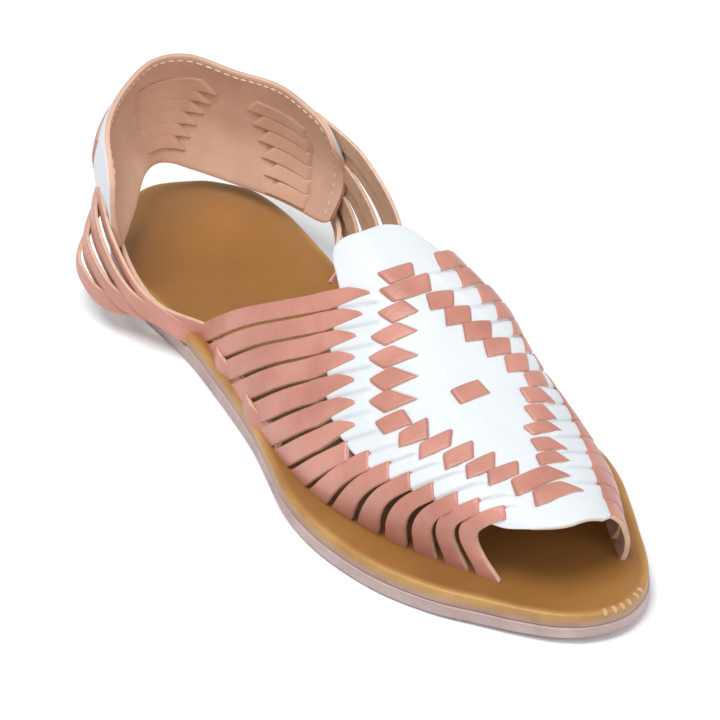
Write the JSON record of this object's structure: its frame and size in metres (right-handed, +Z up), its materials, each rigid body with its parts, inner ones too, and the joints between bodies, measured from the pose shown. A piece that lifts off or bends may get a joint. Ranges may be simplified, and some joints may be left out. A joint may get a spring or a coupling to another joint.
{
  "type": "huarache_sandal",
  "caption": "Flat woven huarache sandal, right shoe: white plug laced with salmon thongs, open toe, floating heel counter on side thongs, caramel insole",
  "frame": {"origin": "Centre of the shoe's bounding box in x and y, at the underside of the outsole", "axes": "+Z up from the floor, toe towards -Y and heel towards +Y, lateral side of this right shoe at -X, medial side at +X"},
  "size_m": [0.0886, 0.25, 0.0615],
  "materials": {
    "crepe_rubber": "matt greyish mauve crepe",
    "insole_leather": "burnished caramel leather with a golden edge",
    "thong_leather": "satin salmon leather with pale cut edges",
    "white_leather": "satin white leather with natural tan lining"
  },
  "bodies": {
    "root": {"outsole": "crepe_rubber", "insole": "insole_leather", "upper": "thong_leather", "heel_counter": "white_leather"}
  },
  "joints": []
}
